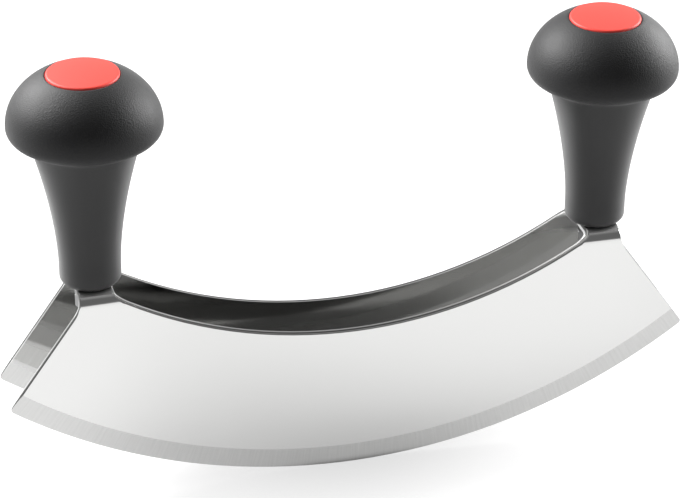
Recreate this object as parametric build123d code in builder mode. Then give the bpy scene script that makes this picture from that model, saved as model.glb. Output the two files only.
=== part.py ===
from build123d import *
from math import cos, radians, sin, sqrt, tan
import os

# Mezzaluna: one sheet folded into two crescent blades, under two knob handles.
# Millimetres. +X runs along the blades and +Z is up. The origin is on the board,
# half way between the lowest points of the two cutting edges.

# Blade sheet
blade_span = 250.0             # tip to tip
edge_radius = 212.0            # cutting edge, seen from the side
blade_depth = 55.9             # cutting edge to top arc, at mid length
window_corner_drop = 1.65      # from the straps' top down to where the top arc meets them
sheet_thickness = 2.0
sheet_width = 25.2             # over the two blades' outer faces
bend_outer_radius = 5.0
strap_top_height = 83.1        # board to the straps' upper face
strap_width = 12.0
shoulder_drop = 5.1            # from the strap's top down to where the slanted end begins
shoulder_round = 12.0
window_round = 3.0             # top arc into the strap's inner side
tip_round = 1.5
bevel_width = 8.0              # ground bevel, measured up the blade
edge_land = 0.16               # thickness left at the cutting edge
top_arc_edge_round = 0.8       # outer edge all round the window
sheared_edge_round = 0.4       # outer edge of the slanted ends

# Knob handle, heights measured from its foot
handle_inset = 32.3            # from a blade tip to the handle's axis
stem_foot_radius = 10.8
stem_foot_round = 2.5
stem_straight_height = 6.8
stem_top_radius = 19.0
head_radius = 26.8
head_widest_height = 60.2
head_dome_rise = 21.1          # ellipse above the widest ring
head_rim_round = 4.4           # below the widest ring
head_underside_slope = 24.0    # degrees
underside_round = 3.0

# The stem's flare runs through these shares of the height from its straight foot to its top.
# The share of the radius gained by then is the share of the height to this power.
stem_flare_shares = (0.2, 0.4, 0.6, 0.8)
stem_flare_power = 1.7

# Cap
cap_radius = 12.6
cap_edge_thickness = 2.2
cap_crown = 0.7                # how far its middle stands above its rim
cap_gap = 0.15                 # round the cap's edge
cap_edge_round = 0.9
recess_depth = 1.8             # shallower than the cap's edge is thick, so that the cap stands proud
recess_edge_round = 0.3
socket_radius = 9.6            # bore that the cap's skirt plugs into
skirt_length = 6.0
skirt_wall = 1.4
skirt_slot_width = 2.0
skirt_slot_count = 4
skirt_end_gap = 0.5
plug_clearance = 0.05

# Handle screw, M6 with a socket head
screw_radius = 3.0
screw_length = 70.0            # under the head
screw_head_radius = 5.0
screw_head_height = 6.0
screw_head_chamfer = 0.4
screw_tip_chamfer = 0.6
hex_socket_width = 5.0         # across flats
hex_socket_depth = 3.0
screw_clearance = 0.3          # in the strap, the handle and the washers
thread_clearance = 0.05
washer_bore_clearance = 1.2    # round the head washer, in the handle

# Washers and domed nut
washer_radius = 6.0
washer_thickness = 1.6
washer_chamfer = 0.25
spring_washer_radius = 5.7
spring_washer_thickness = 1.6
spring_washer_slit = 0.6
spring_washer_slit_angle = 20.0
nut_width = 10.0               # across flats
nut_hex_height = 5.0
nut_total_height = 12.0
nut_dome_radius = 4.7
nut_corner_chamfer_angle = 30.0
nut_thread_depth = 8.0
nut_thread_engaged = 6.8

overrun = 1.0                  # how far a cutting shape passes a face
pick_tolerance = 0.1           # how near its place a corner or edge is when it is picked

# Places that follow from the sizes above
half_span = blade_span / 2
half_width = sheet_width / 2
inner_half_width = half_width - sheet_thickness
edge_offset = half_width - sheet_thickness / 2
handle_x = half_span - handle_inset
strap_inner_x = handle_x - strap_width / 2
strap_outer_x = handle_x + strap_width / 2
tip_height = edge_radius - sqrt(edge_radius**2 - half_span**2)
window_corner_height = strap_top_height - window_corner_drop
strap_under_height = strap_top_height - sheet_thickness
shoulder_height = strap_top_height - shoulder_drop
outline_top = strap_top_height + bend_outer_radius
screw_hole_radius = screw_radius + screw_clearance

underside_angle = radians(head_underside_slope)
rim_centre_radius = head_radius - head_rim_round
underside_end_radius = rim_centre_radius + head_rim_round * sin(underside_angle)
underside_end_height = head_widest_height - head_rim_round * cos(underside_angle)
underside_reach = underside_end_radius - stem_top_radius
stem_top_height = underside_end_height - underside_reach * tan(underside_angle)

recess_radius = cap_radius + cap_gap
recess_share = recess_radius / head_radius
recess_rim_height = head_widest_height + head_dome_rise * sqrt(1 - recess_share**2)
cap_seat_height = recess_rim_height - recess_depth
cap_rim_height = cap_seat_height + cap_edge_thickness
skirt_radius = socket_radius - plug_clearance
skirt_bottom_height = cap_seat_height - skirt_length

clamped_thickness = sheet_thickness + washer_thickness + spring_washer_thickness
screw_seat_height = screw_length - clamped_thickness - nut_thread_engaged
washer_seat_height = screw_seat_height - washer_thickness
strap_washer_height = strap_under_height - washer_thickness
nut_top_height = strap_washer_height - spring_washer_thickness

sides = {"left": -1, "right": 1}
os.makedirs("parts", exist_ok=True)


def keep(part, name):
    part.label = name
    export_step(part, f"parts/{name}.step")


def upright(side, height):
    """Plane through a handle's axis: x away from the axis, y up from the given height."""
    return Plane(origin=(side * handle_x, 0, height), x_dir=(1, 0, 0), z_dir=(0, -1, 0))


def level(side, height):
    """Horizontal plane centred on a handle's axis."""
    return Plane.XY.offset(height).move(Location((side * handle_x, 0, 0)))


def axis_of(side):
    return Axis((side * handle_x, 0, 0), (0, 0, 1))


# Blade sheet: the side outline, the fold and the grinding each cut the one before
outline_rounds = (
    (half_span, tip_height, tip_round),
    (strap_outer_x, shoulder_height, shoulder_round),
    (strap_inner_x, window_corner_height, window_round),
)
fold_layers = (
    (half_width, strap_top_height, bend_outer_radius, Mode.INTERSECT),
    (inner_half_width, strap_under_height, bend_outer_radius - sheet_thickness, Mode.SUBTRACT),
)
bevel_run = (sheet_thickness - edge_land) / 2
bevel_steepness = bevel_width / bevel_run
bevel_apex_drop = bevel_steepness * edge_land / 2
bevel_top = bevel_width + bevel_steepness * overrun

with BuildPart() as blade_sheet:
    with BuildSketch(Plane.XZ) as side_outline:
        with BuildLine():
            ThreePointArc((-half_span, tip_height), (0, 0), (half_span, tip_height))
            ThreePointArc(
                (-strap_inner_x, window_corner_height),
                (0, blade_depth),
                (strap_inner_x, window_corner_height),
            )
            for side in sides.values():
                Polyline(
                    (side * half_span, tip_height),
                    (side * strap_outer_x, shoulder_height),
                    (side * strap_outer_x, outline_top),
                    (side * strap_inner_x, outline_top),
                    (side * strap_inner_x, window_corner_height),
                )
        make_face()
        for corner_x, corner_height, radius in outline_rounds:
            corners = [v for v in side_outline.vertices() if abs(abs(v.X) - corner_x) < pick_tolerance]
            fillet([v for v in corners if abs(v.Y - corner_height) < pick_tolerance], radius)
    extrude(amount=half_width + overrun, both=True)

    for layer_half_width, layer_height, radius, mode in fold_layers:
        with BuildSketch(Plane.YZ) as fold_layer:
            with Locations((0, layer_height)):
                Rectangle(2 * layer_half_width, layer_height + overrun, align=(Align.CENTER, Align.MAX))
            fillet(fold_layer.vertices().group_by(Axis.Y)[-1], radius)
        extrude(amount=half_span + overrun, both=True, mode=mode)

    with BuildSketch(Plane.YZ):
        with BuildLine():
            Polyline(
                (-half_width - overrun, edge_radius),
                (-half_width - overrun, bevel_top),
                (-edge_offset, -bevel_apex_drop),
                (-inner_half_width + overrun, bevel_top),
                (inner_half_width - overrun, bevel_top),
                (edge_offset, -bevel_apex_drop),
                (half_width + overrun, bevel_top),
                (half_width + overrun, edge_radius),
                close=True,
            )
        make_face()
    revolve(axis=Axis((0, 0, edge_radius), (0, 1, 0)), mode=Mode.INTERSECT)

    with Locations(*[(side * handle_x, 0, strap_top_height) for side in sides.values()]):
        Hole(radius=screw_hole_radius, depth=sheet_thickness + overrun)

    outer_edges = [e for e in blade_sheet.edges() if abs(abs(e.center().Y) - half_width) < pick_tolerance]
    window_edges = [e for e in outer_edges if e.length > handle_x and e.center().Z > bevel_top]
    fillet(window_edges, top_arc_edge_round)
    outer_edges = [e for e in blade_sheet.edges() if abs(abs(e.center().Y) - half_width) < pick_tolerance]
    end_edges = [e for e in outer_edges if abs(e.center().X) > strap_outer_x and e.length > strap_width]
    fillet(end_edges, sheared_edge_round)

keep(blade_sheet.part, "blade_sheet")


def flare_point(height_share):
    """Point of the stem's flare at a share of its height."""
    radius_gained = height_share**stem_flare_power * (stem_top_radius - stem_foot_radius)
    height_gained = height_share * (stem_top_height - stem_straight_height)
    return (stem_foot_radius + radius_gained, stem_straight_height + height_gained)


def make_handle(side):
    """Moulded knob: stem and mushroom head, with bores for the screw, its driver and the cap."""
    bores = (
        (screw_hole_radius, -overrun),
        (washer_radius + washer_bore_clearance, washer_seat_height),
        (socket_radius, skirt_bottom_height - skirt_end_gap),
        (recess_radius, cap_seat_height),
    )
    with BuildPart() as handle:
        with BuildSketch(upright(side, strap_top_height)) as profile:
            with BuildLine():
                Line((0, 0), (stem_foot_radius, 0))
                Line((stem_foot_radius, 0), (stem_foot_radius, stem_straight_height))
                Spline(
                    (stem_foot_radius, stem_straight_height),
                    *[flare_point(height_share) for height_share in stem_flare_shares],
                    (stem_top_radius, stem_top_height),
                )
                Line((stem_top_radius, stem_top_height), (underside_end_radius, underside_end_height))
                CenterArc(
                    (rim_centre_radius, head_widest_height),
                    head_rim_round,
                    start_angle=head_underside_slope - 90,
                    arc_size=90 - head_underside_slope,
                )
                EllipticalCenterArc((0, head_widest_height), head_radius, head_dome_rise, arc_size=90)
                Line((0, head_widest_height + head_dome_rise), (0, 0))
            make_face()
            for corner_height, radius in ((0, stem_foot_round), (stem_top_height, underside_round)):
                outer_corners = [v for v in profile.vertices() if v.X > 0]
                fillet([v for v in outer_corners if abs(v.Y - corner_height) < pick_tolerance], radius)
        revolve(axis=axis_of(side))
        for radius, floor_height in bores:
            with BuildSketch(level(side, strap_top_height + floor_height)):
                Circle(radius)
            extrude(amount=head_widest_height + head_dome_rise, mode=Mode.SUBTRACT)
        fillet(handle.edges().group_by(Axis.Z)[-1], recess_edge_round)
    return handle.part


def make_cap(side):
    """Snap-in disc with a crowned face, on a slotted skirt that grips the handle's socket."""
    crown_radius = (cap_radius**2 + cap_crown**2) / (2 * cap_crown)
    slot_cutter_length = 3 * skirt_wall
    with BuildPart() as cap:
        with BuildSketch(upright(side, strap_top_height)) as profile:
            with BuildLine():
                Polyline(
                    (0, cap_rim_height + cap_crown),
                    (0, cap_seat_height),
                    (skirt_radius - skirt_wall, cap_seat_height),
                    (skirt_radius - skirt_wall, skirt_bottom_height),
                    (skirt_radius, skirt_bottom_height),
                    (skirt_radius, cap_seat_height),
                    (cap_radius, cap_seat_height),
                    (cap_radius, cap_rim_height),
                )
                RadiusArc((cap_radius, cap_rim_height), (0, cap_rim_height + cap_crown), -crown_radius)
            make_face()
            fillet(profile.vertices().group_by(Axis.X)[-1].sort_by(Axis.Y)[-1], cap_edge_round)
        revolve(axis=axis_of(side))
        with BuildSketch(level(side, strap_top_height + skirt_bottom_height)):
            with PolarLocations(skirt_radius, skirt_slot_count):
                Rectangle(slot_cutter_length, skirt_slot_width)
        extrude(amount=skirt_length - skirt_wall, mode=Mode.SUBTRACT)
    return cap.part


def make_screw(side):
    """Socket-head screw, from the seat in the handle down to the domed nut."""
    seat = strap_top_height + screw_seat_height
    with BuildPart() as screw:
        with BuildSketch(level(side, seat)):
            Circle(screw_head_radius)
        extrude(amount=screw_head_height)
        chamfer(screw.edges().sort_by(Axis.Z)[-1], screw_head_chamfer)
        with BuildSketch(level(side, seat)):
            Circle(screw_radius)
        extrude(amount=-screw_length)
        chamfer(screw.edges().sort_by(Axis.Z)[0], screw_tip_chamfer)
        with BuildSketch(level(side, seat + screw_head_height)):
            RegularPolygon(hex_socket_width / 2, 6, major_radius=False)
        extrude(amount=-hex_socket_depth, mode=Mode.SUBTRACT)
    return screw.part


def make_flat_washer(side, bottom):
    """Stamped flat washer, its outer edges broken."""
    with BuildPart() as washer:
        with BuildSketch(level(side, bottom)):
            Circle(washer_radius)
            Circle(screw_hole_radius, mode=Mode.SUBTRACT)
        extrude(amount=washer_thickness)
        rims = [e for e in washer.edges().filter_by(GeomType.CIRCLE) if e.radius > screw_hole_radius]
        chamfer(rims, washer_chamfer)
    return washer.part


def make_spring_washer(side):
    """Spring washer as it lies when tightened: flat, with its slanted slit nearly closed."""
    with BuildPart() as washer:
        with BuildSketch(level(side, nut_top_height)):
            Circle(spring_washer_radius)
            Circle(screw_hole_radius, mode=Mode.SUBTRACT)
        extrude(amount=spring_washer_thickness)
        lean = spring_washer_thickness * tan(radians(spring_washer_slit_angle))
        with BuildSketch(upright(side, nut_top_height)):
            with BuildLine():
                Polyline(
                    (0, 0),
                    (spring_washer_slit, 0),
                    (spring_washer_slit + lean, spring_washer_thickness),
                    (lean, spring_washer_thickness),
                    close=True,
                )
            make_face()
        extrude(amount=spring_washer_radius, mode=Mode.SUBTRACT)
    return washer.part


def make_domed_nut(side):
    """Domed nut under the strap, its dome towards the board."""
    corner_radius = nut_width / sqrt(3)
    chamfer_drop = (corner_radius - nut_width / 2) * tan(radians(nut_corner_chamfer_angle))
    dome_centre = nut_dome_radius - nut_total_height
    with BuildPart() as nut:
        with BuildSketch(level(side, nut_top_height)):
            RegularPolygon(nut_width / 2, 6, major_radius=False)
        extrude(amount=-nut_hex_height)
        with BuildSketch(upright(side, nut_top_height)):
            with BuildLine():
                Polyline(
                    (0, 0),
                    (nut_width / 2, 0),
                    (corner_radius, -chamfer_drop),
                    (corner_radius, chamfer_drop - nut_hex_height),
                    (nut_width / 2, -nut_hex_height),
                    (0, -nut_hex_height),
                    close=True,
                )
            make_face()
        revolve(axis=axis_of(side), mode=Mode.INTERSECT)
        with BuildSketch(upright(side, nut_top_height)):
            with BuildLine():
                Polyline(
                    (0, -nut_total_height),
                    (0, -nut_hex_height / 2),
                    (nut_dome_radius, -nut_hex_height / 2),
                    (nut_dome_radius, dome_centre),
                )
                CenterArc((0, dome_centre), nut_dome_radius, start_angle=-90, arc_size=90)
            make_face()
        revolve(axis=axis_of(side))
        with BuildSketch(level(side, nut_top_height)):
            Circle(screw_radius + thread_clearance)
        extrude(amount=-nut_thread_depth, mode=Mode.SUBTRACT)
    return nut.part


# One set of handle pieces at each strap
for side_name, side in sides.items():
    keep(make_handle(side), f"{side_name}_handle")
    keep(make_cap(side), f"{side_name}_cap")
    keep(make_screw(side), f"{side_name}_screw")
    keep(make_flat_washer(side, strap_top_height + washer_seat_height), f"{side_name}_head_washer")
    keep(make_flat_washer(side, strap_washer_height), f"{side_name}_strap_washer")
    keep(make_spring_washer(side), f"{side_name}_spring_washer")
    keep(make_domed_nut(side), f"{side_name}_domed_nut")
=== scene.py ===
"""A two-bladed mezzaluna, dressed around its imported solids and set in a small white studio."""

import logging
import math
from dataclasses import dataclass
from enum import Enum
from typing import Any

import bpy
from mathutils import Matrix, Vector

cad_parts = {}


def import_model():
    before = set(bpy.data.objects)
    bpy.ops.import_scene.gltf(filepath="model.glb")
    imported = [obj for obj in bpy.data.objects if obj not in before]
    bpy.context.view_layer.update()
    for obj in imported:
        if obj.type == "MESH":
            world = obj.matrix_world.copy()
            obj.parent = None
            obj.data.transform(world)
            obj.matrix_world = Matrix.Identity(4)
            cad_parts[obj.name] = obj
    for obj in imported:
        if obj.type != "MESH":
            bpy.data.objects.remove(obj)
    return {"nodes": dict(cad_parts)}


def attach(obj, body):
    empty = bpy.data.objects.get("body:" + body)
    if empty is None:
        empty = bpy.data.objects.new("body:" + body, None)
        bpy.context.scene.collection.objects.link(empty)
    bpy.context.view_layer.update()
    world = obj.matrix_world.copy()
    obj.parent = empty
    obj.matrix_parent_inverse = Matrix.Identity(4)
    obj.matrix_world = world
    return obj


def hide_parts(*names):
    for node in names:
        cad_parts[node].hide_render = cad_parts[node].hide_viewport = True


log = logging.getLogger("mezzaluna")

MM = 0.001
MERGE_DISTANCE = 0.001 * MM
NOISE_RANGE = (0.3, 0.7)  # nearly all of a noise texture's values lie in here


class Side(Enum):
    """The two ends of the tool, each with the direction in which its handle stands."""

    LEFT = -1
    RIGHT = 1

    @property
    def word(self) -> str:
        """Start of the names of this side's nodes and pieces."""
        return self.name.lower()


def linear(hex_colour: str) -> tuple[float, float, float, float]:
    """Turns an sRGB hex colour into Blender's linear one.

    Args:
        hex_colour: Six hex digits after a #.

    Returns:
        Red, green and blue in linear light, and an alpha of 1.
    """
    channels = [int(hex_colour[i:i + 2], 16) / 255 for i in (1, 3, 5)]
    return (*[c / 12.92 if c <= 0.04045 else ((c + 0.055) / 1.055) ** 2.4 for c in channels], 1.0)


def add_node(
    tree: bpy.types.NodeTree, kind: str, inputs: dict | None = None, **settings: Any
) -> bpy.types.Node:
    """Adds a node, sets its options, and sets or links its inputs.

    Args:
        tree: Node tree that the node joins.
        kind: Blender's name for the kind of node, without "ShaderNode".
        inputs: Value, or output socket to link, for each input's name or number.
        **settings: The node's own options by name.

    Returns:
        The new node.
    """
    node = tree.nodes.new("ShaderNode" + kind)
    for name, value in settings.items():
        setattr(node, name, value)
    for key, value in (inputs or {}).items():
        if isinstance(value, bpy.types.NodeSocket):
            tree.links.new(value, node.inputs[key])
        else:
            node.inputs[key].default_value = value
    return node


def ramp(
    tree: bpy.types.NodeTree, value: bpy.types.NodeSocket,
    start: float, end: float, from_value: float, to_value: float,
) -> bpy.types.NodeSocket:
    """Adds a soft step from one value to another.

    Args:
        tree: Node tree that the step joins.
        value: Output socket that drives the step.
        start: Driving value at which the step starts.
        end: Driving value at which the step ends.
        from_value: Result up to the start.
        to_value: Result from the end on.

    Returns:
        The step's output socket.
    """
    inputs = {"Value": value, "From Min": start, "From Max": end, "To Min": from_value, "To Max": to_value}
    return add_node(tree, "MapRange", inputs, interpolation_type="SMOOTHSTEP").outputs[0]


def spread(
    tree: bpy.types.NodeTree, noise: bpy.types.NodeSocket, middle: float, reach: float
) -> bpy.types.NodeSocket:
    """Spreads a noise evenly around a value.

    Args:
        tree: Node tree that the values join.
        noise: Output socket of the noise texture.
        middle: Value that the noise varies.
        reach: How far the result goes from it to either side.

    Returns:
        The varied value's output socket.
    """
    low, high = NOISE_RANGE
    inputs = {"From Min": low, "From Max": high, "To Min": middle - reach, "To Max": middle + reach}
    return add_node(tree, "MapRange", {"Value": noise, **inputs}).outputs[0]


def new_material(name: str) -> tuple[bpy.types.Material, bpy.types.NodeTree]:
    """Makes an empty node material.

    Args:
        name: Name of the finish.

    Returns:
        The material and its node tree.
    """
    material = bpy.data.materials.new(name)
    material.use_nodes = True
    material.node_tree.nodes.clear()
    return material, material.node_tree


@dataclass(frozen=True)
class PolishedSheetSteel:
    """Stainless knife steel, rolled, punched, folded and polished, with bevels ground on both sides."""

    outer_colour: str = "#E4E4E3"
    # Darker than the outer steel: painted shade on the inner faces between the blades
    inner_shade_colour: str = "#CCCCCB"
    sheared_colour: str = "#E4E4E3"
    # The torn side's near-black is painted shade; the tear itself makes it rougher
    torn_shade_colour: str = "#484847"
    streak_colours: tuple[str, str] = ("#CBCBCA", "#E5E5E4")
    outer_roughness: float = 0.12
    inner_roughness: float = 0.05
    under_strap_roughness: float = 0.4
    sheared_roughness: float = 0.16
    torn_roughness: float = 0.42
    bevel_roughness: float = 0.36
    polish_line: tuple[float, float] = (90 * MM, 1.6 * MM)
    polish_detail: float = 3.0
    polish_spread: float = 0.02
    grind_line: tuple[float, float] = (1.0 * MM, 16 * MM)
    grind_detail: float = 4.0
    grind_spread: float = 0.06
    grind_strength: float = 0.15
    grind_depth: float = 0.05 * MM
    edge_radius: float = 212 * MM
    bevel_width: float = 8 * MM
    inner_half_width: float = 10.6 * MM
    bend_inner_radius: float = 3 * MM
    bend_centre: tuple[float, float, float] = (0.0, 7.6 * MM, 78.1 * MM)
    sheared_depth: float = 0.65 * MM
    sheared_blur: float = 0.15 * MM
    wheel_reach: tuple[float, float] = (70 * MM, 76 * MM)
    edgewise_limit: float = 0.5
    sideways_limit: float = 0.25
    downwards_limit: float = -0.1
    inner_margin: float = 0.1 * MM

    def material(self) -> bpy.types.Material:
        """Builds the steel: mirror-like faces, punched edges in two tones and streaked, duller bevels.

        Returns:
            The finished material.
        """
        material, tree = new_material("polished_sheet_steel")
        coordinates = add_node(tree, "TexCoord").outputs
        x, y, z = add_node(tree, "SeparateXYZ", {0: coordinates["Object"]}).outputs
        depth = add_node(tree, "Math", {0: y}, operation="ABSOLUTE").outputs[0]
        rise = add_node(tree, "Math", {0: self.edge_radius, 1: z}, operation="SUBTRACT").outputs[0]
        spoke = add_node(tree, "CombineXYZ", {0: x, 1: rise}).outputs[0]
        radius = add_node(tree, "VectorMath", {0: spoke}, operation="LENGTH").outputs["Value"]
        turn = add_node(tree, "Math", {0: x, 1: rise}, operation="ARCTAN2").outputs[0]
        along = add_node(tree, "Math", {0: turn, 1: self.edge_radius}, operation="MULTIPLY").outputs[0]

        # A punched edge faces neither front, back nor down, and from the bends up it faces sideways
        across, facing, upwards = add_node(tree, "SeparateXYZ", {0: coordinates["Normal"]}).outputs
        across = add_node(tree, "Math", {0: across}, operation="ABSOLUTE").outputs[0]
        facing = add_node(tree, "Math", {0: facing}, operation="ABSOLUTE").outputs[0]
        edgewise = add_node(
            tree, "Math", {0: facing, 1: self.edgewise_limit}, operation="LESS_THAN"
        ).outputs[0]
        bend_height = self.bend_centre[2]
        below = add_node(tree, "Math", {0: z, 1: bend_height}, operation="LESS_THAN").outputs[0]
        sideways = add_node(
            tree, "Math", {0: across, 1: self.sideways_limit}, operation="GREATER_THAN"
        ).outputs[0]
        punched = add_node(tree, "Math", {0: below, 1: sideways}, operation="MAXIMUM").outputs[0]
        level_or_up = add_node(
            tree, "Math", {0: upwards, 1: self.downwards_limit}, operation="GREATER_THAN"
        ).outputs[0]
        cut = add_node(tree, "Math", {0: edgewise, 1: punched}, operation="MULTIPLY").outputs[0]
        cut = add_node(tree, "Math", {0: cut, 1: level_or_up}, operation="MULTIPLY").outputs[0]
        # The punch shears the edge's inner side bright and tears its outer side rougher, painted dark as
        # shade
        section = add_node(tree, "CombineXYZ", {1: depth, 2: z}).outputs[0]
        section = add_node(
            tree, "VectorMath", {0: section, 1: self.bend_centre}, operation="SUBTRACT"
        ).outputs[0]
        section = add_node(tree, "VectorMath", {0: section, 1: (0, 0, 0)}, operation="MAXIMUM").outputs[0]
        outwards = add_node(tree, "VectorMath", {0: section}, operation="LENGTH").outputs["Value"]
        outwards = add_node(
            tree, "Math", {0: outwards, 1: self.bend_inner_radius}, operation="SUBTRACT"
        ).outputs[0]
        tear_start = self.sheared_depth - self.sheared_blur
        tear_end = self.sheared_depth + self.sheared_blur
        torn_and_shaded = ramp(tree, outwards, tear_start, tear_end, 0.0, 1.0)
        bevel_start = self.edge_radius - self.bevel_width
        bevel = add_node(tree, "Math", {0: radius, 1: bevel_start}, operation="GREATER_THAN").outputs[0]
        bevel = add_node(tree, "Math", {0: bevel, 1: cut}, operation="SUBTRACT", use_clamp=True).outputs[0]
        inner_limit = self.inner_half_width + self.inner_margin
        inside = add_node(tree, "Math", {0: depth, 1: inner_limit}, operation="LESS_THAN").outputs[0]

        # Polishing lines run along the blade and are drawn wider than real ones, which are too fine to show
        level = add_node(tree, "CombineXYZ", {0: x, 1: depth, 2: z}).outputs[0]
        long, high = self.polish_line
        level = add_node(tree, "Mapping", {"Vector": level, "Scale": (1 / long, 1, 1 / high)}).outputs[0]
        lines = add_node(
            tree, "TexNoise", {"Vector": level, "Scale": 1.0, "Detail": self.polish_detail}
        ).outputs["Fac"]
        # Grinding streaks run square to the edge, and are coarser than real grit for the same reason
        ground = add_node(tree, "CombineXYZ", {0: along, 1: depth, 2: radius}).outputs[0]
        wide, tall = self.grind_line
        ground = add_node(tree, "Mapping", {"Vector": ground, "Scale": (1 / wide, 1, 1 / tall)}).outputs[0]
        streaks = add_node(
            tree, "TexNoise", {"Vector": ground, "Scale": 1.0, "Detail": self.grind_detail}
        ).outputs["Fac"]

        # The inner faces' darker steel is painted shade
        colour = add_node(
            tree, "Mix", {"Factor": inside, 6: linear(self.outer_colour), 7: linear(self.inner_shade_colour)},
            data_type="RGBA",
        ).outputs[2]
        # The torn side's near-black is painted shade
        edge_colour = add_node(
            tree, "Mix", {"Factor": torn_and_shaded, 6: linear(self.sheared_colour), 7: linear(self.torn_shade_colour)},
            data_type="RGBA",
        ).outputs[2]
        colour = add_node(
            tree, "Mix", {"Factor": cut, 6: colour, 7: edge_colour}, data_type="RGBA"
        ).outputs[2]
        dull, bright = self.streak_colours
        ground_colour = add_node(
            tree, "Mix", {"Factor": streaks, 6: linear(dull), 7: linear(bright)}, data_type="RGBA"
        ).outputs[2]
        colour = add_node(
            tree, "Mix", {"Factor": bevel, 6: colour, 7: ground_colour}, data_type="RGBA"
        ).outputs[2]
        # The polishing wheel doesn't reach in under the straps
        inner = ramp(tree, z, *self.wheel_reach, self.inner_roughness, self.under_strap_roughness)
        polished = add_node(
            tree, "Mix", {"Factor": inside, 2: self.outer_roughness, 3: inner}, data_type="FLOAT"
        ).outputs[0]
        uneven = spread(tree, lines, 0.0, self.polish_spread)
        polished = add_node(tree, "Math", {0: polished, 1: uneven}, operation="ADD").outputs[0]
        edge = add_node(
            tree, "Mix", {"Factor": torn_and_shaded, 2: self.sheared_roughness, 3: self.torn_roughness},
            data_type="FLOAT",
        ).outputs[0]
        polished = add_node(
            tree, "Mix", {"Factor": cut, 2: polished, 3: edge}, data_type="FLOAT"
        ).outputs[0]
        streaked = spread(tree, streaks, self.bevel_roughness, self.grind_spread)
        rough = add_node(
            tree, "Mix", {"Factor": bevel, 2: polished, 3: streaked}, data_type="FLOAT"
        ).outputs[0]
        height = add_node(tree, "Math", {0: streaks, 1: bevel}, operation="MULTIPLY").outputs[0]
        bump = add_node(
            tree, "Bump",
            {"Strength": self.grind_strength, "Distance": self.grind_depth, "Height": height},
        ).outputs[0]
        shader = add_node(
            tree, "BsdfPrincipled",
            {"Base Color": colour, "Metallic": 1.0, "Roughness": rough, "Normal": bump},
        ).outputs[0]
        add_node(tree, "OutputMaterial", {"Surface": shader})
        return material


@dataclass(frozen=True)
class GrainedPolypropylene:
    """Black polypropylene from a coarsely eroded mould: matt, its broad soft shine broken up by grain,
    painted darker as shade.
    """

    name: str = "grained_shaded_polypropylene"
    # Darker than the stem's plastic: painted shade for the head's dark lower front
    colour: str = "#0D0D0F"
    roughness: float = 0.56
    ior: float = 1.49
    sheen: float = 0.13
    sheen_roughness: float = 0.45
    grain_depth: float = 0.11 * MM
    roughness_spread: float = 0.03
    grain: float = 0.5 * MM
    grain_detail: float = 2.0
    handled_patch: float = 18 * MM
    handled_detail: float = 3.0

    def material(self) -> bpy.types.Material:
        """Builds the moulded black plastic.

        Returns:
            The finished material.
        """
        material, tree = new_material(self.name)
        place = add_node(tree, "TexCoord").outputs["Object"]
        # The grain is drawn coarser than the mould's own, which is too fine to show
        grain = add_node(
            tree, "TexNoise", {"Vector": place, "Scale": 1 / self.grain, "Detail": self.grain_detail}
        ).outputs["Fac"]
        handled = add_node(
            tree, "TexNoise",
            {"Vector": place, "Scale": 1 / self.handled_patch, "Detail": self.handled_detail},
        ).outputs["Fac"]
        rough = spread(tree, handled, self.roughness, self.roughness_spread)
        bump = add_node(tree, "Bump", {"Distance": self.grain_depth, "Height": grain}).outputs[0]
        shader = add_node(
            tree, "BsdfPrincipled",
            {"Base Color": linear(self.colour), "Roughness": rough, "IOR": self.ior, "Normal": bump,
             "Sheen Weight": self.sheen, "Sheen Roughness": self.sheen_roughness},
        ).outputs[0]
        add_node(tree, "OutputMaterial", {"Surface": shader})
        return material


@dataclass(frozen=True)
class FinePolypropylene(GrainedPolypropylene):
    """The same plastic from a finely eroded stretch of mould: smoother, pale along its rims, greyer as the
    head is painted dark.
    """

    name: str = "fine_polypropylene"
    colour: str = "#1D1D1E"
    roughness: float = 0.45
    sheen: float = 0.36
    sheen_roughness: float = 0.5
    grain_depth: float = 0.015 * MM


@dataclass(frozen=True)
class RedCapPlastic:
    """Red polypropylene from a smoother mould: satin, paler where the light skims it."""

    colour: str = "#FF4A40"
    roughness: float = 0.5
    ior: float = 1.49
    grain: float = 0.4 * MM
    grain_detail: float = 2.0
    grain_strength: float = 0.1
    grain_depth: float = 0.03 * MM

    def material(self) -> bpy.types.Material:
        """Builds the red cap plastic.

        Returns:
            The finished material.
        """
        material, tree = new_material("red_cap_plastic")
        place = add_node(tree, "TexCoord").outputs["Object"]
        # The grain is drawn coarser than the mould's own, which is too fine to show
        grain = add_node(
            tree, "TexNoise", {"Vector": place, "Scale": 1 / self.grain, "Detail": self.grain_detail}
        ).outputs["Fac"]
        bump = add_node(
            tree, "Bump",
            {"Strength": self.grain_strength, "Distance": self.grain_depth, "Height": grain},
        ).outputs[0]
        shader = add_node(
            tree, "BsdfPrincipled",
            {"Base Color": linear(self.colour), "Roughness": self.roughness, "IOR": self.ior,
             "Normal": bump},
        ).outputs[0]
        add_node(tree, "OutputMaterial", {"Surface": shader})
        return material


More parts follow.
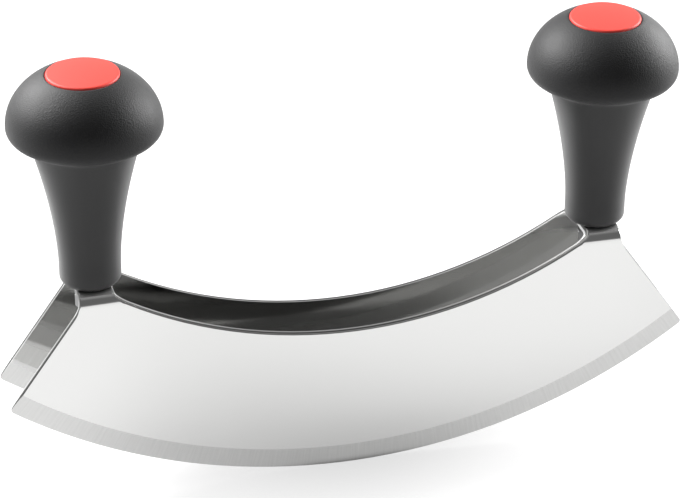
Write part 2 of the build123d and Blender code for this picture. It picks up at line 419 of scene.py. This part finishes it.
@dataclass(frozen=True)
class StainlessFastener:
    """Tumbled stainless screws, nuts and washers: grey and dull, so that they stay quiet in the gap."""

    colour: str = "#9A9A9A"
    roughness: float = 0.38
    roughness_spread: float = 0.05
    tumble_mark: float = 1.5 * MM
    tumble_detail: float = 3.0

    def material(self) -> bpy.types.Material:
        """Builds the fastener steel.

        Returns:
            The finished material.
        """
        material, tree = new_material("stainless_fastener")
        place = add_node(tree, "TexCoord").outputs["Object"]
        tumble = add_node(
            tree, "TexNoise",
            {"Vector": place, "Scale": 1 / self.tumble_mark, "Detail": self.tumble_detail},
        ).outputs["Fac"]
        rough = spread(tree, tumble, self.roughness, self.roughness_spread)
        shader = add_node(
            tree, "BsdfPrincipled", {"Base Color": linear(self.colour), "Metallic": 1.0, "Roughness": rough}
        ).outputs[0]
        add_node(tree, "OutputMaterial", {"Surface": shader})
        return material


def dress(node: bpy.types.Object, material: bpy.types.Material) -> None:
    """Gives an object one material in all its slots.

    Args:
        node: Object to dress.
        material: Its finish.
    """
    if not node.material_slots:
        node.data.materials.append(material)
    for slot in node.material_slots:
        slot.material = material


def round_corner(before: tuple, corner: tuple, after: tuple, radius: float, steps: int = 6) -> list[tuple]:
    """Rounds the corner between two straight stretches of a profile.

    Args:
        before: Radius and height of the point before the corner.
        corner: Radius and height of the corner.
        after: Radius and height of the point after it.
        radius: Radius of the rounding.
        steps: Stretches that the rounding is made of.

    Returns:
        The points of the rounding, from its start to its end.
    """
    point = Vector(corner)
    back = (Vector(before) - point).normalized()
    ahead = (Vector(after) - point).normalized()
    half_angle = back.angle(ahead) / 2
    middle = point + (back + ahead).normalized() * (radius / math.sin(half_angle))
    start = (point + back * (radius / math.tan(half_angle)) - middle).normalized()
    end = (point + ahead * (radius / math.tan(half_angle)) - middle).normalized()
    return [tuple(middle + start.slerp(end, step / steps) * radius) for step in range(steps + 1)]


def turn_piece(name: str, axis_x: float, profile: list[tuple], corners: int) -> bpy.types.Object:
    """Models a round piece from one circle, extruded and scaled ring by ring along a profile.

    Args:
        name: Name of the new piece.
        axis_x: Where the piece's upright axis stands along the blades.
        profile: Radius and height of each ring.
        corners: Number of corners in each ring.

    Returns:
        The piece in edit mode, with its last ring selected.
    """
    radius, height = profile[0]
    bpy.ops.object.select_all(action="DESELECT")
    bpy.ops.mesh.primitive_circle_add(vertices=corners, radius=radius, location=(axis_x, 0, height))
    piece = bpy.context.object
    piece.name = piece.data.name = name
    bpy.ops.object.transform_apply()
    bpy.ops.object.mode_set(mode="EDIT")
    for next_radius, next_height in profile[1:]:
        bpy.ops.mesh.extrude_region_move(TRANSFORM_OT_translate={"value": (0, 0, next_height - height)})
        scale = next_radius / radius
        bpy.ops.transform.resize(value=(scale, scale, 1), center_override=(axis_x, 0, next_height))
        radius, height = next_radius, next_height
    return piece


def finish_piece(piece: bpy.types.Object, sharp_angle: float) -> None:
    """Merges a turned piece's seam, turns its faces outwards and smooths it between its sharp edges.

    Args:
        piece: Piece that is in edit mode.
        sharp_angle: Angle in degrees from which an edge stays sharp.
    """
    bpy.ops.mesh.select_all(action="SELECT")
    bpy.ops.mesh.remove_doubles(threshold=MERGE_DISTANCE)
    bpy.ops.mesh.normals_make_consistent(inside=False)
    bpy.ops.object.mode_set(mode="OBJECT")
    bpy.ops.object.shade_smooth_by_angle(angle=math.radians(sharp_angle))
    piece.select_set(False)


@dataclass
class BladeSheet:
    """The folded sheet: both blades, both straps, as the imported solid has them."""

    node: str = "blade_sheet"
    finish: PolishedSheetSteel = PolishedSheetSteel()

    def build(self, nodes: dict) -> None:
        """Dresses the sheet's own solid in polished steel.

        Args:
            nodes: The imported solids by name.
        """
        dress(nodes[self.node], self.finish.material())
        log.info("%s dressed", self.node)


@dataclass
class KnobHandle:
    """One moulded knob: a flared stem under a mushroom head, bored for its screw and its cap."""

    side: Side
    axis_distance: float = 92.7 * MM
    foot_height: float = 83.1 * MM
    stem_foot_radius: float = 10.8 * MM
    stem_foot_round: float = 2.5 * MM
    stem_straight_height: float = 6.8 * MM
    stem_top_radius: float = 19.0 * MM
    stem_flare_power: float = 1.7
    head_radius: float = 26.79 * MM
    head_widest_height: float = 60.2 * MM
    head_dome_rise: float = 21.1 * MM
    head_rim_round: float = 4.4 * MM
    head_underside_slope: float = 24.0
    underside_round: float = 3.0 * MM
    recess_radius: float = 12.75 * MM
    recess_depth: float = 1.8 * MM
    recess_edge_round: float = 0.3 * MM
    socket_radius: float = 9.6 * MM
    socket_depth: float = 6.5 * MM
    driver_bore_radius: float = 7.2 * MM
    screw_seat_height: float = 56.4 * MM
    screw_hole_radius: float = 3.3 * MM
    flare_steps: int = 20
    rim_steps: int = 8
    dome_steps: int = 28
    recess_edge_steps: int = 3
    corners: int = 96
    sharp_angle: float = 40.0

    @property
    def rim_height(self) -> float:
        """Height above the foot at which the dome ends and the cap's recess begins."""
        share = math.sqrt(1 - (self.recess_radius / self.head_radius) ** 2)
        return self.head_widest_height + self.head_dome_rise * share

    @property
    def underside_end(self) -> tuple[float, float]:
        """Place where the head's sloping underside runs into its rim.

        Returns:
            Its radius, and its height above the foot.
        """
        slope = math.radians(self.head_underside_slope)
        radius = self.head_radius - self.head_rim_round * (1 - math.sin(slope))
        return radius, self.head_widest_height - self.head_rim_round * math.cos(slope)

    @property
    def stem_top_height(self) -> float:
        """Place where the stem's flare meets the head's underside.

        Returns:
            Its height above the foot.
        """
        end_radius, end_height = self.underside_end
        slope = math.tan(math.radians(self.head_underside_slope))
        return end_height - (end_radius - self.stem_top_radius) * slope

    def stem(self) -> list[tuple]:
        """Profile of the foot, the straight stretch and the flare.

        Returns:
            Radius and height of each ring from the foot's underside to the stem's top.
        """
        top_height = self.stem_top_height
        foot = round_corner(
            (self.screw_hole_radius, 0), (self.stem_foot_radius, 0), (self.stem_foot_radius, top_height),
            self.stem_foot_round,
        )
        flare = []
        for step in range(self.flare_steps + 1):
            share = step / self.flare_steps
            widening = share ** self.stem_flare_power * (self.stem_top_radius - self.stem_foot_radius)
            rise = share * (top_height - self.stem_straight_height)
            flare.append((self.stem_foot_radius + widening, self.stem_straight_height + rise))
        throat = round_corner(flare[-2], flare[-1], self.underside_end, self.underside_round)
        return foot + flare[:-1] + throat

    def head(self) -> list[tuple]:
        """Profile of the head.

        Returns:
            Radius and height of each ring from the underside's end to the recess's edge.
        """
        centre = self.head_radius - self.head_rim_round
        start = math.radians(self.head_underside_slope - 90)
        rim = []
        for step in range(self.rim_steps):
            angle = start * (1 - step / self.rim_steps)
            rim.append((centre + self.head_rim_round * math.cos(angle),
                        self.head_widest_height + self.head_rim_round * math.sin(angle)))
        last = math.acos(self.recess_radius / self.head_radius)
        dome = []
        for step in range(self.dome_steps):
            angle = last * step / self.dome_steps
            dome.append((self.head_radius * math.cos(angle),
                         self.head_widest_height + self.head_dome_rise * math.sin(angle)))
        return rim + dome

    def bores(self) -> list[tuple]:
        """Profile of the recess, the cap's socket, the driver bore and the screw hole.

        Returns:
            Radius and height of each ring from the recess's edge down to the foot.
        """
        rim = (self.recess_radius, self.rim_height)
        seat_height = self.rim_height - self.recess_depth
        socket_floor = seat_height - self.socket_depth
        edge = round_corner(
            self.head()[-1], rim, (self.recess_radius, seat_height),
            self.recess_edge_round, self.recess_edge_steps,
        )
        return edge + [
            (self.recess_radius, seat_height),
            (self.socket_radius, seat_height),
            (self.socket_radius, socket_floor),
            (self.driver_bore_radius, socket_floor),
            (self.driver_bore_radius, self.screw_seat_height),
            (self.screw_hole_radius, self.screw_seat_height),
            (self.screw_hole_radius, 0),
        ]

    def dress_zones(
        self, knob: bpy.types.Object, grained: bpy.types.Material, fine: bpy.types.Material
    ) -> None:
        """Gives the head and its bores the grained finish and the stem the finer one.

        Args:
            knob: The modelled knob.
            grained: Finish of the head.
            fine: Finish of the stem.
        """
        knob.data.materials.append(grained)
        knob.data.materials.append(fine)
        # The head's finish is painted darker than the stem's, as shade
        stem_top = self.foot_height + self.stem_top_height
        for face in knob.data.polygons:
            face.material_index = int(face.center.z < stem_top)

    def build(self, grained: bpy.types.Material, fine: bpy.types.Material) -> None:
        """Models the knob and puts it in its solid's place.

        Args:
            grained: Finish of the head.
            fine: Finish of the stem.
        """
        start = (self.screw_hole_radius, 0)
        profile = [start, *self.stem(), *self.head(), *self.bores()]
        rings = [(radius, self.foot_height + height) for radius, height in profile]
        name = f"{self.side.word}_knob"
        knob = turn_piece(name, self.side.value * self.axis_distance, rings, self.corners)
        finish_piece(knob, self.sharp_angle)
        self.dress_zones(knob, grained, fine)
        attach(knob, "root")
        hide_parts(f"{self.side.word}_handle")
        log.info("%s modelled, %d faces", name, len(knob.data.polygons))


@dataclass
class HandleFittings:
    """One knob's cap, screw, washers and domed nut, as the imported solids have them."""

    side: Side
    fasteners: tuple[str, ...] = ("screw", "head_washer", "strap_washer", "spring_washer", "domed_nut")

    def build(self, nodes: dict, cap_material: bpy.types.Material, steel: bpy.types.Material) -> None:
        """Dresses the cap in red plastic and the fasteners in stainless steel.

        Args:
            nodes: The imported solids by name.
            cap_material: Finish of the cap.
            steel: Finish of the fasteners.
        """
        dress(nodes[f"{self.side.word}_cap"], cap_material)
        for piece in self.fasteners:
            dress(nodes[f"{self.side.word}_{piece}"], steel)
        log.info("%s cap and %d fasteners dressed", self.side.word, len(self.fasteners))


@dataclass
class Studio:
    """White table in a room that is white behind and darker in front, with two softboxes."""

    table_size: float = 12.0
    table_colour: str = "#8C8C8C"
    table_glow: float = 0.87
    mirrored_glow: float = 0.71
    shade_reach: tuple[float, float, float] = (0.17, 0.12, 1.0)
    near_shade: float = 0.09
    contact_reach: tuple[float, float, float] = (0.085, 0.055, 1.0)
    contact_shade: float = 0.22
    shade_span: tuple[float, float] = (1.0, 0.1)
    slot_shade: float = 0.6
    slot_size: tuple[float, float] = (0.075, 0.013)
    slot_end_blur: float = 0.3
    slot_side_blur: float = 0.1
    behind_light: float = 1.0
    front_light: float = 0.18
    behind_span: tuple[float, float] = (0.1, 0.75)
    horizon_light: float = 0.3
    horizon_span: tuple[float, float] = (0.4, 0.0)
    overhead_light: float = 0.36
    overhead_span: tuple[float, float] = (0.6, 0.9)
    gap_way: tuple[float, float, float] = (0.24, 0.84, 0.48)
    gap_shade: float = 0.5
    gap_span: tuple[float, float] = (0.9, 0.99)
    softbox_distance: float = 1.1
    softbox_size: float = 0.8
    softbox_aim_height: float = 80 * MM
    left_softbox_direction: tuple[float, float, float] = (-0.576, 0.537, 0.616)
    right_softbox_direction: tuple[float, float, float] = (0.898, 0.275, 0.342)
    left_watts: float = 25.0
    right_watts: float = 17.0

    def build(self) -> None:
        """Makes the table, the room and the two softboxes."""
        self.lay_table()
        self.light_room()
        self.hang_softbox("left_softbox", self.left_softbox_direction, self.left_watts)
        self.hang_softbox("right_softbox", self.right_softbox_direction, self.right_watts)

    def lay_table(self) -> None:
        """Lays the white table top under the cutting edges."""
        bpy.ops.object.select_all(action="DESELECT")
        bpy.ops.mesh.primitive_plane_add(size=self.table_size, location=(0, 0, 0))
        table = bpy.context.object
        table.name = "table"
        material, tree = new_material("white_table")
        path = add_node(tree, "LightPath").outputs
        place = add_node(tree, "TexCoord").outputs["Object"]
        # What the steel mirrors of the table: shaded near the tool, more so between its blades
        contact = self.round_shade(tree, place, self.contact_reach, self.contact_shade)
        near = self.round_shade(tree, place, self.shade_reach, self.near_shade)
        quarter = add_node(tree, "VectorMath", {0: place}, operation="ABSOLUTE").outputs[0]
        along, depth, _ = add_node(tree, "SeparateXYZ", {0: quarter}).outputs
        slot_length, slot_width = self.slot_size
        side_blur = self.slot_side_blur * slot_width
        beside = ramp(tree, depth, slot_width + side_blur, slot_width - side_blur, 0.0, self.slot_shade)
        end_blur = self.slot_end_blur * slot_length
        within = ramp(tree, along, slot_length + end_blur, slot_length - end_blur, 0.0, 1.0)
        slot = add_node(tree, "Math", {0: beside, 1: within}, operation="MULTIPLY").outputs[0]
        mirrored = self.mirrored_glow
        for shade in (contact, near, slot):
            lit = add_node(tree, "Math", {0: 1.0, 1: shade}, operation="SUBTRACT").outputs[0]
            mirrored = add_node(tree, "Math", {0: mirrored, 1: lit}, operation="MULTIPLY").outputs[0]
        glossy_ray = path["Is Glossy Ray"]
        mirrored = add_node(tree, "Math", {0: mirrored, 1: glossy_ray}, operation="MULTIPLY").outputs[0]
        # The table seen directly keeps the painted contact shadow too
        direct = add_node(tree, "Math", {0: 1.0, 1: contact}, operation="SUBTRACT").outputs[0]
        direct = add_node(tree, "Math", {0: direct, 1: self.table_glow}, operation="MULTIPLY").outputs[0]
        glow = add_node(
            tree, "Mix", {0: path["Is Camera Ray"], 2: mirrored, 3: direct}, data_type="FLOAT"
        ).outputs[0]
        matt = add_node(tree, "BsdfDiffuse", {"Color": linear(self.table_colour)}).outputs[0]
        light = add_node(tree, "Emission", {"Strength": glow}).outputs[0]
        both = add_node(tree, "AddShader", {0: matt, 1: light}).outputs[0]
        add_node(tree, "OutputMaterial", {"Surface": both})
        dress(table, material)

    def round_shade(
        self, tree: bpy.types.NodeTree, place: bpy.types.NodeSocket, reach: tuple, shade: float
    ) -> bpy.types.NodeSocket:
        """Adds a round shade on the table, deepest under the tool.

        Args:
            tree: Node tree of the table's material.
            place: Output socket that gives the place on the table.
            reach: How far the shade reaches along the blades and across them, and a 1 for the height.
            shade: Share of the light that it takes under the tool.

        Returns:
            The share of the light that is taken at each place.
        """
        scaled = add_node(tree, "VectorMath", {0: place, 1: reach}, operation="DIVIDE").outputs[0]
        distance = add_node(tree, "VectorMath", {0: scaled}, operation="LENGTH").outputs["Value"]
        return ramp(tree, distance, *self.shade_span, 0.0, shade)

    def light_room(self) -> None:
        """Lights the room from behind and a little from above, and shows it white to the camera."""
        world = bpy.data.worlds.new("room")
        bpy.context.scene.world = world
        world.use_nodes = True
        tree = world.node_tree
        tree.nodes.clear()
        direction = add_node(tree, "TexCoord").outputs["Generated"]
        _, away, up = add_node(tree, "SeparateXYZ", {0: direction}).outputs
        behind = ramp(tree, away, *self.behind_span, self.front_light, self.behind_light)
        horizon = ramp(tree, up, *self.horizon_span, 0.0, self.horizon_light)
        level = add_node(tree, "Math", {0: behind, 1: horizon}, operation="MAXIMUM").outputs[0]
        overhead = ramp(tree, up, *self.overhead_span, 0.0, self.overhead_light)
        level = add_node(tree, "Math", {0: level, 1: overhead}, operation="MAXIMUM").outputs[0]
        # The white behind the tool has a greyer gap right of the middle, which the caps and straps mirror
        gap_way = tuple(Vector(self.gap_way).normalized())
        towards = add_node(
            tree, "VectorMath", {0: direction, 1: gap_way}, operation="DOT_PRODUCT"
        ).outputs["Value"]
        gap = ramp(tree, towards, *self.gap_span, 1.0, 1.0 - self.gap_shade)
        level = add_node(tree, "Math", {0: level, 1: gap}, operation="MULTIPLY").outputs[0]
        room = add_node(tree, "Background", {"Strength": level}).outputs[0]
        white = add_node(tree, "Background", {"Strength": 1.0}).outputs[0]
        camera_ray = add_node(tree, "LightPath").outputs["Is Camera Ray"]
        both = add_node(tree, "MixShader", {0: camera_ray, 1: room, 2: white}).outputs[0]
        add_node(tree, "OutputWorld", {"Surface": both})

    def hang_softbox(self, name: str, direction: tuple, watts: float) -> None:
        """Hangs one round softbox that faces the tool.

        Args:
            name: Name of the lamp.
            direction: Direction from the tool to the lamp.
            watts: Power of the lamp.
        """
        towards = Vector(direction).normalized()
        place = Vector((0, 0, self.softbox_aim_height)) + towards * self.softbox_distance
        lamp = bpy.data.lights.new(name, "AREA")
        lamp.shape = "DISK"
        lamp.size = self.softbox_size
        lamp.energy = watts
        holder = bpy.data.objects.new(name, lamp)
        facing = towards.to_track_quat("Z", "Y").to_matrix().to_4x4()
        holder.matrix_world = Matrix.Translation(place) @ facing
        bpy.context.scene.collection.objects.link(holder)


@dataclass
class PhotoCamera:
    """Camera at the photograph's angle, for its frame of 680 by 498 pixels."""

    azimuth: float = -15.57
    elevation: float = 28.92
    roll: float = 0.53
    distance: float = 1006 * MM
    aim: tuple[float, float, float] = (-2.83 * MM, 0.0, 82.45 * MM)
    focal_pixels: float = 2833.0
    frame_width: int = 680
    sensor_width: float = 36.0

    def build(self) -> None:
        """Makes the camera and gives it to the scene."""
        turn, tilt, roll = (math.radians(a) for a in (self.azimuth, self.elevation, self.roll))
        back = Vector((math.sin(turn) * math.cos(tilt), -math.cos(turn) * math.cos(tilt), math.sin(tilt)))
        level = Vector((math.cos(turn), math.sin(turn), 0))
        upright = back.cross(level)
        right = level * math.cos(roll) + upright * math.sin(roll)
        up = upright * math.cos(roll) - level * math.sin(roll)
        lens = bpy.data.cameras.new("photo_camera")
        lens.sensor_width = self.sensor_width
        lens.lens = self.focal_pixels / self.frame_width * self.sensor_width
        camera = bpy.data.objects.new("photo_camera", lens)
        turn_matrix = Matrix((right, up, back)).transposed().to_4x4()
        camera.matrix_world = Matrix.Translation(Vector(self.aim) + back * self.distance) @ turn_matrix
        bpy.context.scene.collection.objects.link(camera)
        bpy.context.scene.camera = camera


def main() -> None:
    """Builds the whole scene."""
    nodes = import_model()["nodes"]
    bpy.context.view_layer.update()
    bpy.context.scene.view_settings.view_transform = "Standard"

    grained = GrainedPolypropylene().material()
    fine = FinePolypropylene().material()
    red = RedCapPlastic().material()
    steel = StainlessFastener().material()
    BladeSheet().build(nodes)
    for side in Side:
        KnobHandle(side).build(grained, fine)
        HandleFittings(side).build(nodes, red, steel)
    Studio().build()
    PhotoCamera().build()


if __name__ == "__main__":
    logging.basicConfig(level=logging.INFO)
    main()
